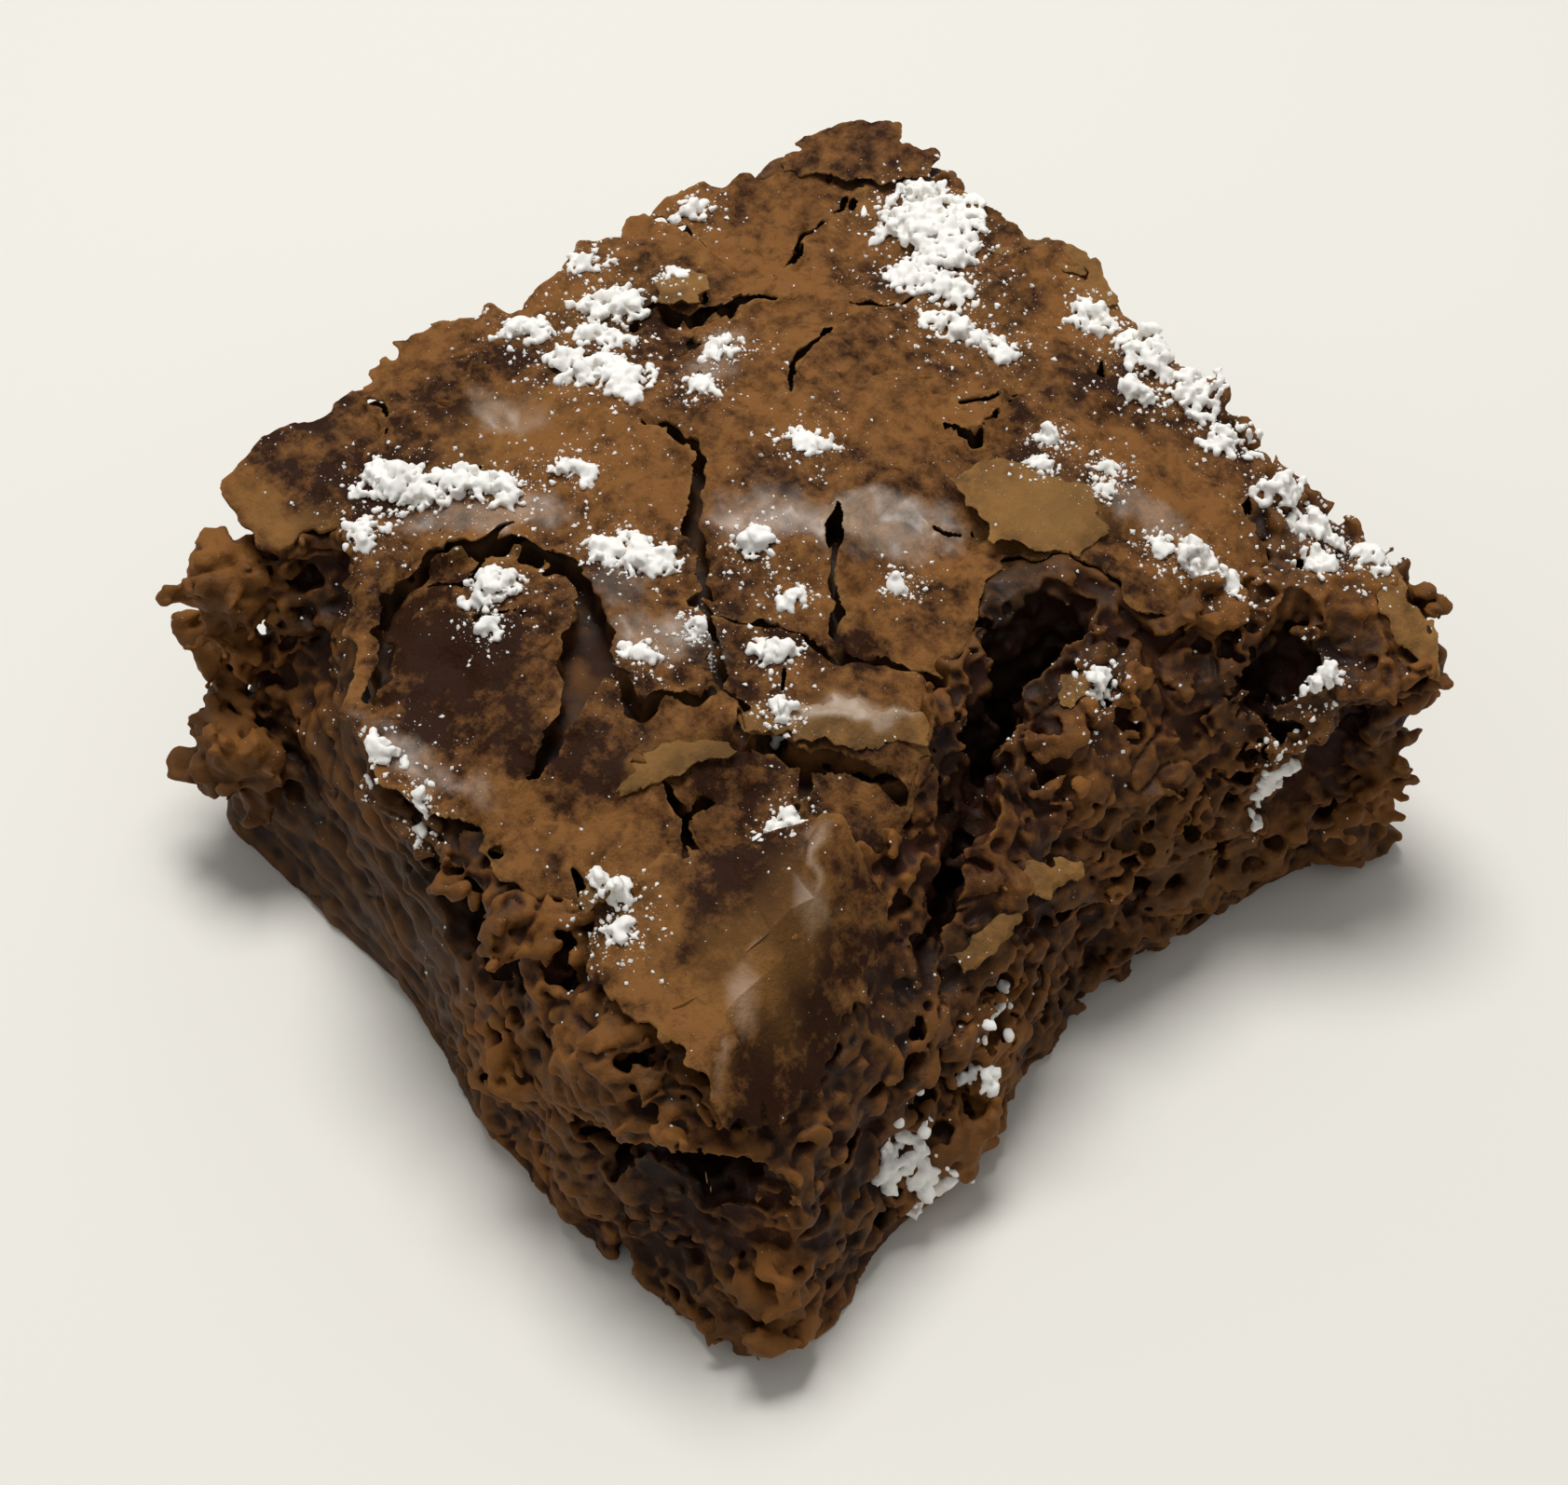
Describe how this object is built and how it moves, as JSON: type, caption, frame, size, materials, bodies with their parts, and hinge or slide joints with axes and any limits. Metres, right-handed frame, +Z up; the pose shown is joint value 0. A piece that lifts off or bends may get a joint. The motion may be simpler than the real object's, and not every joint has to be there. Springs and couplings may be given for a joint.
{
  "type": "chocolate_brownie",
  "caption": "Chocolate brownie square with a cracked papery crust, a torn moist crumb, a knife-cut side and a dusting of icing sugar.",
  "frame": {"origin": "middle of the flat underside, level with what the brownie stands on", "axes": "+Z up; -Y towards the knife-cut front side; +X towards the torn side"},
  "size_m": [0.0568, 0.0579, 0.0256],
  "materials": {
    "crumb": "matte, moist, open-pored baked chocolate crumb",
    "crust": "satin, papery, cracked crust of baked sugar and cocoa",
    "sugar": "matte white icing sugar"
  },
  "bodies": {
    "root": {"brownie": "crumb"}
  },
  "joints": []
}
